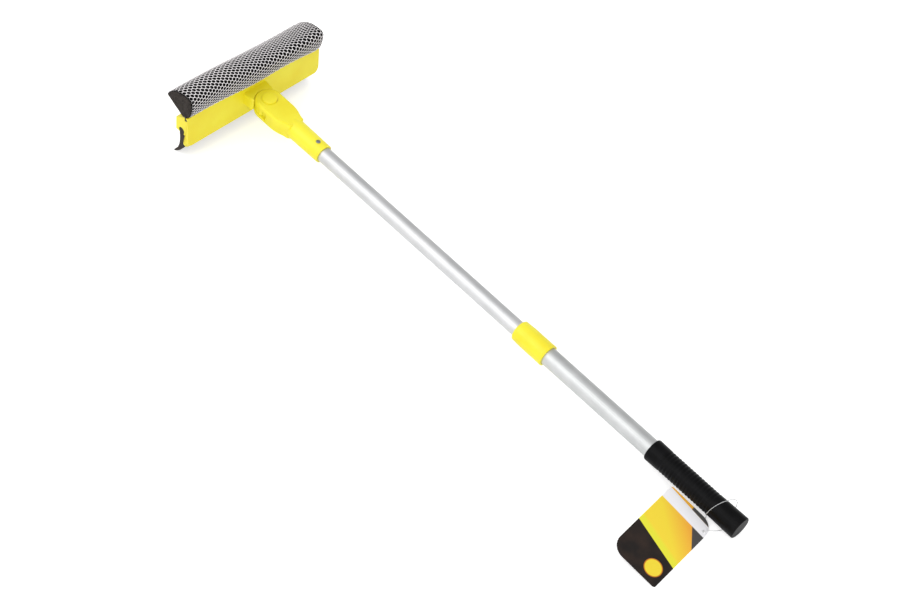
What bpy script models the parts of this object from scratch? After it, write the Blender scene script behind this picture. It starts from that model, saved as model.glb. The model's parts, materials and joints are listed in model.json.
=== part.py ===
# Telescopic window squeegee: a head with a sponge and a rubber blade on a swivel joint,
# two aluminium tubes with a twist lock between them, a ribbed grip and a card hang tag.
# Lengths are in metres. The tool's own frame has its origin where the swivel's axis
# crosses the pole's axis, +X along the pole to the grip and +Z up along the swivel.
# At the end the tool is pitched and lifted, so that it lies on its blade and its grip.

import math

import bmesh
import bpy
from mathutils import Matrix, Vector

# Clearances
gap = 0.0003            # between pieces that touch or are pressed together
running_gap = 0.0005    # between pieces that turn or slide past each other
overrun = 0.002         # how far a cutter passes the surface that it opens

# Head plate, seen along its length
head_length = 0.205
head_back = 0.0246      # swivel axis to the back face, at the pole's height
head_lean = 0.0054      # the back face's top edge lies this much further out than its bottom edge
head_top = 0.0186       # top edge of the back face over the pole's axis
head_bottom = 0.0252    # back face's bottom edge below the pole's axis
wall_foot = 0.007       # how far the wall's bevelled foot runs on under that edge
head_depth = 0.0188     # back edge to front edge of the sloped top
head_fall = 0.0117      # how far the sloped top falls to the front
lip_inset = 0.0018      # the front face's bottom edge lies this much further in
lip_bottom = 0.0115     # bottom of the front lip below the pole's axis
wall_edge = 0.0007      # thickness of that foot at its bottom
neck_root = 0.0034      # how far the neck runs into the plate
end_corner = 0.0065     # radius of the wall's two lower corners

# Blade
bead_radius = 0.0044
bead_front = 0.0113     # swivel side of the head's back face to the bead's centre
bead_depth = 0.0036     # bead's centre over the front lip's edge
neck_ahead = 0.003      # blade's neck in the slot's mouth, ahead of the bead's centre
neck_behind = 0.0041    # and behind it
blade_thickness = 0.009
blade_free = 0.038      # lip's edge to the blade's tip
blade_hook = 0.0088     # how far the tip hooks forward
blade_trim = 0.0005     # the blade ends this far inside the head's ends

# Sponge, net and carrier rail
sponge_seat = 0.0095    # width of the sponge's foot on the sloped top
sponge_front = 0.0297   # sponge in front of its foot
sponge_back = 0.003     # sponge behind the head's top edge
sponge_height = 0.0318
sponge_crown = 0.0008   # swell of the middle over the ends
sponge_roll = 0.006     # how far the sponge's top has rolled back and down at its far end
net_thickness = 0.0008
rail_place = 0.0052     # head's top edge to the rail's middle plane, along the slope
rail_web = 0.0026
rail_flange = 0.0016
rail_foot_width = 0.0044
rail_foot_depth = 0.0042
rail_head_width = 0.008
rail_head_height = 0.0052

# Swivel joint
hub_radius = 0.0158
hub_height = 0.0098
hub_floor = 0.0024
notch_count = 16
notch_width = 0.0024
notch_depth = 0.0012
tongue_width = 0.024
neck_width = 0.0348
neck_tips = 0.0286      # neck's width where it meets the fork's sweep
neck_height = 0.0172
fork_wall = 0.001       # how far the fork's cheeks stand out past the hub
fork_mouth = 0.0132     # swivel axis to the fork's side walls
cheek_thickness = 0.0051
button_radius = 0.0091
button_proud = 0.0026
button_travel = 0.003
button_flange = 0.0017
button_flange_height = 0.0028
button_wall = 0.0012
button_crown = 0.0006
spring_radius = 0.0068
spring_wire = 0.0009
spring_turns = 4
bolt_radius = 0.0022
bolt_head_radius = 0.0045
bolt_head_height = 0.0015
washer_radius = 0.005
washer_thickness = 0.0008
nut_radius = 0.004
nut_height = 0.0023
cap_radius = 0.006
cap_thickness = 0.0011

# Socket
block_length = 0.024    # swivel axis to where the joint block starts to narrow
block_taper = 0.023
block_edge = 0.0022
panel_height = 0.0006
panel_inset = 0.0028
sleeve_wall = 0.002
sleeve_draft = 0.0005
sleeve_mouth = 0.095
tube_stop = 0.048       # swivel axis to the bottom of the sleeve's bore
screw_place = 0.0835
screw_head_radius = 0.0026
screw_head_height = 0.0011
screw_shank_radius = 0.0012
screw_shank_length = 0.0045
screw_slot_width = 0.0007
screw_slot_depth = 0.0006

# Pole
tube_radius = 0.0095    # inner tube, outside
tube_wall = 0.001
tube_shown = 0.319      # inner tube between the sleeve and the collar
tube_overlap = 0.038    # inner tube past the collar's mouth
collar_length = 0.0455
collar_wall = 0.0021
collar_taper = 0.0006   # how much thinner the collar is at its front end
collar_ramp = 0.015     # how long it takes to reach its full thickness
collar_lip = 0.008
collar_edge = 0.0012
collar_rim = 0.0022
outer_shown = 0.1575    # outer tube between the collar and the grip
spindle_plug = 0.022
spindle_flange = 0.002
journal_radius = 0.004
journal_length = 0.0198
cam_offset = 0.0007
cam_slit = 0.0025
cap_disc = 0.002
lock_screw_radius = 0.0012
lock_screw_depth = 0.008
lock_screw_head = 0.003

# Grip
grip_length = 0.129
grip_wall = 0.0021
grip_waist = 0.0004     # how far the ribbed stretch is drawn in
grip_flare = 0.0004
grip_end_wall = 0.0035
grip_edge = 0.0012
rib_start = 0.019
rib_pitch = 0.0042
rib_count = 17
rib_depth = 0.0005
plug_length = 0.014
plug_flange = 0.0016

# Hang tag and loop
tag_width = 0.0626
tag_length = 0.1082
tag_thickness = 0.0006
tag_big_corner = 0.0166
tag_small_corner = 0.003
tag_turn = math.radians(5.0)
tag_tilt = math.radians(13.3)     # the loop holds the card's left side up
tag_from_end = 0.0231   # grip's end to the tag's upper right corner, along the pole
tag_aside = 0.0108      # pole's axis to that corner
tag_hole_radius = 0.002
tag_hole_in = 0.0045
tag_hole_down = 0.0145
loop_wire = 0.0008

# Facets
round_steps = 32
small_steps = 16

# Places along the pole
collar_start = sleeve_mouth + tube_shown
collar_end = collar_start + collar_length
grip_start = collar_end + outer_shown
grip_end = grip_start + grip_length
tube_start = tube_stop + gap
tube_end = collar_start + tube_overlap
outer_radius = tube_radius + running_gap + tube_wall
outer_start = collar_start + collar_lip + gap
outer_end = grip_end - grip_end_wall - 2 * gap - plug_flange
grip_radius = outer_radius + gap + grip_wall
half_hub = hub_height / 2
half_fork = half_hub + gap
half_joint = half_fork + cheek_thickness
joint_radius = hub_radius + fork_wall
hub_floor_top = hub_floor - half_hub
flange_radius = button_radius + button_flange
slope = math.atan2(head_fall, head_depth)

# Down the blade: share of its free height, forward share of its hook, share of its thickness.
blade_form_shares = [
    (0.05, -0.1, 0.87),
    (0.16, -0.24, 0.98),
    (0.32, -0.3, 0.93),
    (0.5, -0.24, 0.82),
    (0.66, -0.04, 0.68),
    (0.8, 0.26, 0.54),
    (0.92, 0.66, 0.36),
    (1.0, 1.0, 0.2),
]

parts = None
cutters = None
root = None


def clear_scene():
    for obj in list(bpy.data.objects):
        bpy.data.objects.remove(obj, do_unlink=True)


def new_collection(name):
    collection = bpy.data.collections.new(name)
    bpy.context.scene.collection.children.link(collection)
    return collection


def new_material(name, colour, roughness, metallic=0.0):
    material = bpy.data.materials.new(name)
    material.use_nodes = True
    shader = material.node_tree.nodes["Principled BSDF"]
    shader.inputs["Base Color"].default_value = (*colour, 1.0)
    shader.inputs["Roughness"].default_value = roughness
    shader.inputs["Metallic"].default_value = metallic
    return material


def new_pivot(name, location, parent):
    pivot = bpy.data.objects.new(name, None)
    pivot.empty_display_size = tube_radius
    parts.objects.link(pivot)
    pivot.location = location
    pivot.parent = parent
    return pivot


def keep_place(obj, pivot):
    """Parents obj to pivot and keeps obj's place in the tool's frame."""
    bpy.context.view_layer.update()
    obj.parent = pivot
    obj.matrix_parent_inverse = pivot.matrix_world.inverted()


def as_part(obj, pivot, material):
    cutters.objects.unlink(obj)
    parts.objects.link(obj)
    obj.hide_render = False
    obj.display_type = "TEXTURED"
    obj.data.materials.clear()
    obj.data.materials.append(material)
    keep_place(obj, pivot)
    return obj


def as_cutter(name, data):
    obj = bpy.data.objects.new(name, data)
    cutters.objects.link(obj)
    obj.hide_render = True
    obj.display_type = "WIRE"
    return obj


def combine(obj, other, operation):
    modifier = obj.modifiers.new(other.name, "BOOLEAN")
    modifier.operation = operation
    modifier.solver = "EXACT"
    modifier.object = other
    if other.parent is None:
        keep_place(other, root)


def round_edges(obj, width, segments, angle=math.radians(35)):
    modifier = obj.modifiers.new("rounding", "BEVEL")
    modifier.width = width
    modifier.segments = segments
    modifier.limit_method = "ANGLE"
    modifier.angle_limit = angle
    modifier.harden_normals = False


def curve_to_mesh(obj):
    """Turns a curve object into a welded mesh object of the same name and place."""
    bpy.context.view_layer.update()
    graph = bpy.context.evaluated_depsgraph_get()
    mesh = bpy.data.meshes.new_from_object(obj.evaluated_get(graph))
    bm = bmesh.new()
    bm.from_mesh(mesh)
    bmesh.ops.remove_doubles(bm, verts=bm.verts, dist=0.00001)
    bmesh.ops.dissolve_limit(bm, angle_limit=math.radians(0.5), verts=bm.verts, edges=bm.edges)
    bmesh.ops.recalc_face_normals(bm, faces=bm.faces)
    bm.to_mesh(mesh)
    bm.free()
    name = obj.name
    matrix = obj.matrix_world.copy()
    bpy.data.objects.remove(obj, do_unlink=True)
    solid = as_cutter(name, mesh)
    solid.matrix_world = matrix
    return solid


def plate(name, outline, thickness, place=(0, 0, 0), turn=(0, 0, 0)):
    """A flat outline in its own XY plane, thickened evenly to both sides."""
    curve = bpy.data.curves.new(name, "CURVE")
    curve.dimensions = "2D"
    curve.fill_mode = "BOTH"
    curve.extrude = thickness / 2
    curve.render_resolution_u = 0
    spline = curve.splines.new("POLY")
    spline.points.add(len(outline) - 1)
    for point, (x, y) in zip(spline.points, outline):
        point.co = (x, y, 0, 1)
    spline.use_cyclic_u = True
    obj = as_cutter(name, curve)
    obj.location = place
    obj.rotation_euler = turn
    return curve_to_mesh(obj)


def along_head(name, outline, length):
    """An outline in X and Z, run along the head's length."""
    return plate(name, outline, length, turn=(math.radians(90), 0, 0))


def turned(name, profile, steps=round_steps, place=(0, 0, 0), along_pole=True):
    """A turned piece. The profile holds (height, radius) down the outer side, top to bottom.

    A profile that neither starts nor ends on the axis is closed, as a ring's is.
    """
    mesh = bpy.data.meshes.new(name)
    verts = [(radius, 0, height) for height, radius in profile]
    edges = [(i, i + 1) for i in range(len(verts) - 1)]
    if profile[0][1] > 0 and profile[-1][1] > 0:
        edges.append((len(verts) - 1, 0))
    mesh.from_pydata(verts, edges, [])
    obj = as_cutter(name, mesh)
    screw = obj.modifiers.new("turn", "SCREW")
    screw.steps = steps
    screw.render_steps = steps
    screw.use_merge_vertices = True
    screw.merge_threshold = 0.00001
    screw.use_smooth_shade = True
    obj.location = place
    if along_pole:
        obj.rotation_euler = (0, math.radians(90), 0)
    return obj


def rod(name, bottom, top, radius, steps=small_steps, place=(0, 0, 0), along_pole=False):
    profile = [(top, 0), (top, radius), (bottom, radius), (bottom, 0)]
    return turned(name, profile, steps, place, along_pole)


def ring(name, bottom, top, bore, radius, steps=round_steps, along_pole=True):
    profile = [(top, bore), (top, radius), (bottom, radius), (bottom, bore)]
    return turned(name, profile, steps, (0, 0, 0), along_pole)


def box(name, low, high):
    mesh = bpy.data.meshes.new(name)
    bm = bmesh.new()
    bmesh.ops.create_cube(bm, size=1)
    size = Vector(high) - Vector(low)
    middle = (Vector(high) + Vector(low)) / 2
    bmesh.ops.transform(bm, matrix=Matrix.Translation(middle) @ Matrix.Diagonal((*size, 1)), verts=bm.verts)
    bm.to_mesh(mesh)
    bm.free()
    return as_cutter(name, mesh)


def arc(centre, radius, start, end, count):
    """Points on a circle from one angle to another, both included."""
    points = []
    for i in range(count):
        angle = start + (end - start) * i / (count - 1)
        points.append((centre[0] + radius * math.cos(angle), centre[1] + radius * math.sin(angle)))
    return points


def smooth_through(points, per_span):
    """Points of a Catmull-Rom curve through the given ones, the first and last included."""
    result = []
    for i in range(len(points) - 1):
        before = Vector(points[max(i - 1, 0)])
        here = Vector(points[i])
        there = Vector(points[i + 1])
        after = Vector(points[min(i + 2, len(points) - 1)])
        for step in range(per_span):
            t = step / per_span
            bend = 2 * before - 5 * here + 4 * there - after
            twist = 3 * here - before - 3 * there + after
            result.append((2 * here + (there - before) * t + bend * t * t + twist * t ** 3) / 2)
    result.append(Vector(points[-1]))
    return result


def back_face(height):
    """Where the head's leaning back face lies at a height over the pole's axis."""
    return -head_back - head_lean * height / (head_top + head_bottom)


def on_slope(along, off):
    """A point from the head's top edge, measured down the sloped top and off it."""
    x = back_face(head_top) - along * math.cos(slope) - off * math.sin(slope)
    z = head_top - along * math.sin(slope) + off * math.cos(slope)
    return (x, z)


def bead_centre():
    height = bead_depth - lip_bottom
    return (back_face(height) - bead_front, height)


def blade_back():
    """How far back the blade's rear side comes, where it is fullest."""
    reach = [blade_thickness / 2 * thick - blade_hook * forward for down, forward, thick in blade_form_shares]
    return bead_centre()[0] + max(reach)


def keyhole(spare):
    """The blade's bead and neck, from the mouth's back edge round to its front edge."""
    x, z = bead_centre()
    radius = bead_radius + spare
    behind = neck_behind + spare
    ahead = neck_ahead + spare
    start = -math.acos(behind / radius)
    end = math.radians(180) + math.acos(ahead / radius)
    points = [(x + behind, -lip_bottom)]
    points += arc((x, z), radius, start, end, 15)
    points.append((x - ahead, -lip_bottom))
    return points


def rail_slot():
    """The slot for the rail's foot and web in the sloped top, from its back edge to its front."""
    foot = rail_foot_width / 2 + gap
    web = rail_web / 2 + gap
    low = -rail_foot_depth - gap
    foot_top = rail_flange - rail_foot_depth + gap
    front_half = [(foot, low), (foot, foot_top), (web, foot_top), (web, 0)]
    back_half = [(-across, off) for across, off in reversed(front_half)]
    return [on_slope(rail_place + across, off) for across, off in back_half + front_half]


def head_section():
    """The head's section from its top back edge round over the front, with both slots in it."""
    front = back_face(head_top) - head_depth
    wall = blade_back() + running_gap + gap
    foot = -head_bottom - wall_foot
    section = [(back_face(head_top), head_top)]
    section += rail_slot()
    section += [(front, head_top - head_fall), (front + lip_inset, -lip_bottom)]
    section += reversed(keyhole(gap))
    section += [(wall, -lip_bottom), (wall, foot), (wall + wall_edge, foot)]
    section.append((back_face(-head_bottom), -head_bottom))
    return section


def rail_section(spare):
    """The carrier rail's I-shaped section: foot in the head, head in the sponge."""
    foot = rail_foot_width / 2 + spare
    web = rail_web / 2 + spare
    top = rail_head_width / 2 + spare
    low = -rail_foot_depth - spare
    high = rail_head_height + spare
    foot_top = rail_flange - rail_foot_depth + spare
    head_low = rail_head_height - rail_flange - spare
    right = [(foot, low), (foot, foot_top), (web, foot_top), (web, head_low), (top, head_low), (top, high)]
    left = [(-across, off) for across, off in reversed(right)]
    return [on_slope(rail_place + across, off) for across, off in right + left]


def hub_outline():
    """The hub's round rim with its index notches, one every turn / notch_count."""
    points = []
    pitch = math.radians(360) / notch_count
    half_notch = notch_width / (2 * hub_radius)
    for i in range(notch_count):
        middle = i * pitch
        inner = hub_radius - notch_depth
        points += arc((0, 0), inner, middle - half_notch, middle + half_notch, 2)
        points += arc((0, 0), hub_radius, middle + half_notch, middle + pitch - half_notch, 4)
    return points


def neck_outline():
    """The neck from the fork's sweep to inside the head plate, flaring at the plate."""
    sweep = joint_radius + running_gap
    half_tips = neck_tips / 2
    half_neck = neck_width / 2
    face = back_face(0)
    inside = face - neck_root
    start = math.pi - math.asin(half_tips / sweep)
    points = arc((0, 0), sweep, start, 2 * math.pi - start, 9)
    flare_from = points[-1][0]
    flare_shares = [(0.15, 0.5), (0.35, 0.72), (0.7, 0.86), (1.0, 1.0)]
    lower = []
    for run_share, width_share in flare_shares:
        x = flare_from + (face - flare_from) * run_share
        lower.append((x, -half_tips - (half_neck - half_tips) * width_share))
    lower.append((inside, -half_neck))
    upper = [(x, -y) for x, y in reversed(lower)]
    return points + lower + upper


def round_end_corners(obj):
    """Rounds the two lower corners of the wall behind the blade, seen from the back."""
    mesh = obj.data
    weights = mesh.attributes.new("bevel_weight_edge", "FLOAT", "EDGE")
    for edge in mesh.edges:
        ends = [obj.matrix_world @ mesh.vertices[i].co for i in edge.vertices]
        at_end = all(abs(end.y) > head_length / 2 - overrun for end in ends)
        at_bottom = all(end.z < -head_bottom + overrun for end in ends)
        across = ends[0].y * ends[1].y > 0
        weights.data[edge.index].value = 1.0 if at_end and at_bottom and across else 0.0
    modifier = obj.modifiers.new("corners", "BEVEL")
    modifier.limit_method = "WEIGHT"
    modifier.width = end_corner
    modifier.segments = 5
    modifier.use_clamp_overlap = False


def make_head_body(pivot, material):
    body = along_head("head_body", head_section(), head_length)
    bpy.context.view_layer.update()
    round_end_corners(body)
    neck = plate("neck", neck_outline(), neck_height)
    round_edges(neck, gap * 4, 2)
    tongue_end = back_face(0) - neck_root / 2
    tongue = box("tongue", (tongue_end, -tongue_width / 2, -half_hub), (0, tongue_width / 2, half_hub))
    hub = plate("hub", hub_outline(), hub_height)
    combine(body, neck, "UNION")
    combine(body, tongue, "UNION")
    combine(body, hub, "UNION")
    bore = flange_radius + running_gap
    combine(body, rod("button_bore", hub_floor_top, half_hub + overrun, bore, round_steps), "DIFFERENCE")
    bolt_hole = rod("hub_bolt_hole", -half_hub - overrun, half_hub, bolt_radius + gap)
    combine(body, bolt_hole, "DIFFERENCE")
    return as_part(body, pivot, material)


def make_blade(pivot, material):
    x, z = bead_centre()
    front = []
    back = []
    for down, forward, thick in blade_form_shares:
        centre = x - blade_hook * forward
        height = -lip_bottom - blade_free * down
        front.append((centre - blade_thickness / 2 * thick, height))
        back.append((centre + blade_thickness / 2 * thick, height))
    front = [tuple(point) for point in smooth_through(front, 3)]
    back = [tuple(point) for point in smooth_through(back, 3)]
    section = keyhole(0) + front + back[::-1]
    blade = along_head("blade_rubber", section, head_length - 2 * blade_trim)
    return as_part(blade, pivot, material)


def sponge_ring(swell, roll):
    """The sponge's section, from the front of its foot round over the top to the foot's back."""
    lift = net_thickness + 2 * gap
    foot = Vector(on_slope(sponge_seat, lift))
    heel = Vector(on_slope(0, lift))
    behind = heel.x + sponge_back - foot.x
    # Shares of the depth in front of the foot and of the height over it.
    front_shares = [(0.5, 0.19), (1.0, 0.4), (0.76, 0.79), (0.37, 0.97), (0.02, 1.02)]
    # Shares of the depth behind the foot's front and of the height over it.
    back_shares = [(0.62, 1.04), (0.97, 0.97), (1.0, 0.64), (1.0, 0.34)]
    points = [foot]
    points += [foot + Vector((-sponge_front * across, sponge_height * up)) for across, up in front_shares]
    points += [foot + Vector((behind * across, sponge_height * up)) for across, up in back_shares]
    points.append(heel)
    middle = (foot + heel) / 2
    swollen = []
    for point in points:
        off = (point - middle).length / sponge_height
        outward = (point - middle).normalized() if point not in (foot, heel) else Vector((0, 0))
        # The top rolls back by 0.7 of what it sinks, and the foot stays where it is.
        free = min(max((point.y - heel.y) / sponge_height, 0), 1)
        rolled = Vector((0.7, -1)) * roll * free
        swollen.append(point + outward * swell * min(off, 1) + rolled)
    return swollen


def sponge_cage(name, capped):
    """Rings of the section along the sponge, capped for the foam and open for the net."""
    # Places along the length, as shares of half of it, and the shares of the crown and the roll.
    ring_shares = [(-1.0, -2.6, 0.0), (-0.92, 0.4, 0.0), (0.92, 0.4, 0.95), (1.0, -2.6, 1.0)]
    mesh = bpy.data.meshes.new(name)
    bm = bmesh.new()
    crease = bm.edges.layers.float.new("crease_edge")
    rings = []
    for along, crown, roll in ring_shares:
        section = sponge_ring(sponge_crown * crown, sponge_roll * roll)
        y = along * head_length / 2
        rings.append([bm.verts.new((point.x, y, point.y)) for point in section])
    for near, far in zip(rings, rings[1:]):
        for i in range(len(near)):
            j = (i + 1) % len(near)
            bm.faces.new((near[i], near[j], far[j], far[i]))
            if i in (0, 2):
                edge = bm.edges.get((near[i], far[i]))
                edge[crease] = 0.7
    if capped:
        for end in (rings[0], rings[-1]):
            bm.faces.new(end)
            for i in range(len(end)):
                bm.edges.get((end[i - 1], end[i]))[crease] = 1.0
    bmesh.ops.recalc_face_normals(bm, faces=bm.faces)
    bm.to_mesh(mesh)
    bm.free()
    obj = as_cutter(name, mesh)
    subdivision = obj.modifiers.new("soft", "SUBSURF")
    subdivision.levels = 2
    subdivision.render_levels = 2
    return obj


def make_sponge(pivot, foam, netting):
    core = sponge_cage("sponge_core", True)
    pocket = along_head("rail_pocket", rail_section(gap), head_length + 2 * overrun)
    combine(core, pocket, "DIFFERENCE")
    net = sponge_cage("sponge_net", False)
    offset = net.modifiers.new("off_the_foam", "DISPLACE")
    offset.strength = gap
    offset.mid_level = 0
    offset.direction = "NORMAL"
    skin = net.modifiers.new("net", "SOLIDIFY")
    skin.thickness = net_thickness
    skin.offset = 1
    half_slit = rail_web / 2 + gap
    slit_high = net_thickness + 2 * gap + rail_web
    slit = [(-half_slit, -overrun), (half_slit, -overrun), (half_slit, slit_high), (-half_slit, slit_high)]
    section = [on_slope(rail_place + across, off) for across, off in slit]
    combine(net, along_head("net_slit", section, head_length + 2 * overrun), "DIFFERENCE")
    return as_part(core, pivot, foam), as_part(net, pivot, netting)


def make_rail(pivot, material):
    rail = along_head("sponge_carrier", rail_section(0), head_length - 2 * blade_trim)
    return as_part(rail, pivot, material)


def block_outline(inset):
    """The joint block from above: round about the swivel, straight sides, then a taper."""
    radius = joint_radius - inset
    sleeve = tube_radius + gap + sleeve_wall - inset
    count = 13
    points = arc((0, 0), radius, math.radians(90), math.radians(270), count)
    # Share of the taper's run and share of the width that is left to lose there.
    taper_shares = [(0.0, 0.0), (0.25, 0.15), (0.48, 0.44), (0.68, 0.78), (0.84, 0.95), (1.0, 1.0)]
    lower = []
    for run, lost in taper_shares:
        lower.append((block_length + block_taper * run, -radius + (radius - sleeve) * lost))
    upper = [(x, -y) for x, y in reversed(lower)]
    return points + lower + upper


def make_socket(pivot, material):
    """The fork, the joint block and the sleeve, moulded in one."""
    sleeve_bore = tube_radius + gap
    sleeve_radius = sleeve_bore + sleeve_wall
    socket = plate("handle_socket", block_outline(0), 2 * half_joint)
    round_edges(socket, block_edge, 3)
    panel = plate("panel", block_outline(panel_inset), 2 * half_joint + 2 * panel_height)
    round_edges(panel, panel_height / 2, 1)
    combine(socket, panel, "UNION")
    root_radius = sleeve_radius + sleeve_draft
    profile = [
        (sleeve_mouth, 0),
        (sleeve_mouth, sleeve_radius - gap),
        (sleeve_mouth - 2 * gap, sleeve_radius),
        (block_length + block_taper, root_radius),
        (block_length, half_joint - block_edge),
        (block_length, 0),
    ]
    combine(socket, turned("sleeve", profile), "UNION")
    bore = rod("sleeve_bore", tube_stop, sleeve_mouth + overrun, sleeve_bore, round_steps, along_pole=True)
    combine(socket, bore, "DIFFERENCE")
    reach = joint_radius + overrun
    mouth = box("fork_mouth", (-reach, -reach, -half_fork), (fork_mouth, reach, half_fork))
    combine(socket, mouth, "DIFFERENCE")
    sweep = rod("fork_sweep", -half_fork, half_fork, hub_radius + running_gap, round_steps)
    combine(socket, sweep, "DIFFERENCE")
    top = half_joint + panel_height + overrun
    combine(socket, rod("button_hole", 0, top, button_radius + gap, round_steps), "DIFFERENCE")
    combine(socket, rod("cheek_bolt_hole", -top, 0, bolt_radius + gap), "DIFFERENCE")
    recess = bolt_head_height + cap_thickness + 2 * gap
    floor = -half_joint - panel_height + recess
    combine(socket, rod("cap_recess", -top, floor, cap_radius + gap, small_steps * 2), "DIFFERENCE")
    seat = screw_seat()
    place = (screw_place, 0, 0)
    combine(socket, rod("screw_seat", seat, top + overrun, screw_head_radius + gap, place=place), "DIFFERENCE")
    combine(socket, rod("screw_hole", 0, top, screw_shank_radius + gap, place=place), "DIFFERENCE")
    return as_part(socket, pivot, material)


def screw_seat():
    """Height of the flat that the socket's screw sits on."""
    return tube_radius + gap + sleeve_wall - screw_head_height / 2


def make_socket_screw(pivot, material):
    low = screw_seat() + gap
    high = low + screw_head_height
    profile = [
        (high, 0),
        (high, screw_head_radius * 0.75),
        (high - screw_head_height / 2, screw_head_radius),
        (low, screw_head_radius),
        (low, screw_shank_radius),
        (low - screw_shank_length, screw_shank_radius),
        (low - screw_shank_length, 0),
    ]
    screw = turned("socket_screw", profile, small_steps, (screw_place, 0, 0), along_pole=False)
    half = screw_slot_width / 2
    reach = screw_head_radius * 0.65
    for name, wide, deep in (("slot_along", reach, half), ("slot_across", half, reach)):
        low_corner = (screw_place - wide, -deep, high - screw_slot_depth)
        high_corner = (screw_place + wide, deep, high + overrun)
        combine(screw, box(name, low_corner, high_corner), "DIFFERENCE")
    return as_part(screw, pivot, material)


def make_button(pivot, material):
    """A cap that stands out of the upper cheek, with a flange below it and a spring recess."""
    top = half_joint + panel_height + button_proud
    flange_top = half_hub
    flange_low = flange_top - button_flange_height
    ceiling = spring_top()
    recess = button_radius - button_wall
    profile = [
        (top, 0),
        (top - button_crown / 4, button_radius * 0.55),
        (top - button_crown, button_radius - button_crown),
        (top - 2 * button_crown, button_radius),
        (flange_top, button_radius),
        (flange_top, flange_radius),
        (flange_low, flange_radius),
        (flange_low, recess),
        (ceiling, recess),
        (ceiling, 0),
    ]
    return as_part(turned("release_button", profile, round_steps, along_pole=False), pivot, material)


def spring_top():
    return half_hub + button_wall


def make_spring(pivot, material):
    """The coil under the button, standing on the hub's floor round the nut."""
    low = hub_floor_top + gap + spring_wire / 2
    high = spring_top() - gap - spring_wire / 2
    per_turn = 10
    count = spring_turns * per_turn
    curve = bpy.data.curves.new("button_spring", "CURVE")
    curve.dimensions = "3D"
    curve.bevel_depth = spring_wire / 2
    curve.bevel_resolution = 1
    curve.use_fill_caps = True
    curve.render_resolution_u = 0
    spline = curve.splines.new("POLY")
    spline.points.add(count)
    for i, point in enumerate(spline.points):
        angle = math.radians(360) * i / per_turn
        x = spring_radius * math.cos(angle)
        y = spring_radius * math.sin(angle)
        point.co = (x, y, low + (high - low) * i / count, 1)
    return as_part(curve_to_mesh(as_cutter("button_spring", curve)), pivot, material)


def make_pivot_parts(socket_pivot, steel, plastic):
    low = -half_joint - panel_height + cap_thickness + gap
    high = low + bolt_head_height
    tip = hub_floor_top + washer_thickness + nut_height + 3 * gap
    profile = [
        (tip, 0),
        (tip, bolt_radius),
        (high, bolt_radius),
        (high, bolt_head_radius),
        (low, bolt_head_radius),
        (low, 0),
    ]
    as_part(turned("pivot_bolt", profile, small_steps, along_pole=False), socket_pivot, steel)
    base = -half_joint - panel_height
    cap = rod("pivot_cap", base, base + cap_thickness, cap_radius, small_steps * 2)
    as_part(cap, socket_pivot, plastic)
    bore = bolt_radius + gap
    washer_low = hub_floor_top + gap
    washer_high = washer_low + washer_thickness
    washer = ring("pivot_washer", washer_low, washer_high, bore, washer_radius, small_steps, along_pole=False)
    as_part(washer, socket_pivot, steel)
    nut_low = washer_high + gap
    nut = ring("pivot_nut", nut_low, nut_low + nut_height, bore, nut_radius, 12, along_pole=False)
    flats = plate("nut_flats", arc((0, 0), nut_radius, 0, math.radians(300), 6), nut_height * 3)
    combine(nut, flats, "INTERSECT")
    as_part(nut, socket_pivot, steel)


def make_inner_tube(pivot, material):
    tube = ring("inner_tube", tube_start, tube_end, tube_radius - tube_wall, tube_radius)
    place = (screw_place, 0, 0)
    hole = rod("tube_screw_hole", 0, tube_radius + overrun, screw_shank_radius + gap, place=place)
    combine(tube, hole, "DIFFERENCE")
    return as_part(tube, pivot, material)


def make_lock(inner_pivot, cam_pivot, plastic, steel):
    """The plug in the inner tube's end, its journal, the cam on it and the end washer."""
    plug_radius = tube_radius - tube_wall - gap
    flange_start = tube_end + gap
    journal_start = flange_start + spindle_flange
    journal_end = journal_start + journal_length
    hole = lock_screw_radius + gap
    profile = [
        (journal_end, hole),
        (journal_end, journal_radius),
        (journal_start, journal_radius),
        (journal_start, tube_radius),
        (flange_start, tube_radius),
        (flange_start, plug_radius),
        (tube_end - spindle_plug, plug_radius),
        (tube_end - spindle_plug, hole),
    ]
    spindle = turned("lock_spindle", profile)
    stopper = rod("spindle_core", tube_end - spindle_plug, journal_end - lock_screw_depth - gap, hole * 1.5,
                  along_pole=True)
    combine(spindle, stopper, "UNION")
    as_part(spindle, inner_pivot, plastic)
    cap_start = journal_end + gap
    cap_end = cap_start + cap_disc
    cap = ring("spindle_cap", cap_start, cap_end, hole, tube_radius - gap, round_steps)
    as_part(cap, inner_pivot, plastic)
    head_start = cap_end + gap
    screw_profile = [
        (head_start + cap_disc, 0),
        (head_start + cap_disc, lock_screw_head * 0.8),
        (head_start + cap_disc / 2, lock_screw_head),
        (head_start, lock_screw_head),
        (head_start, lock_screw_radius),
        (journal_end - lock_screw_depth, lock_screw_radius),
        (journal_end - lock_screw_depth, 0),
    ]
    as_part(turned("spindle_screw", screw_profile, small_steps), inner_pivot, steel)
    cam_radius = outer_radius - tube_wall - gap - cam_offset
    cam_start = journal_start + gap
    cam_end = journal_end - gap
    cam = rod("lock_cam", cam_start, cam_end, cam_radius, round_steps, (0, 0, -cam_offset), along_pole=True)
    bore = rod("cam_bore", journal_start, journal_end, journal_radius + gap, round_steps, along_pole=True)
    combine(cam, bore, "DIFFERENCE")
    slit = box("cam_slit", (journal_start, -cam_slit / 2, 0), (journal_end, cam_slit / 2, outer_radius))
    combine(cam, slit, "DIFFERENCE")
    as_part(cam, cam_pivot, plastic)


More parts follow.
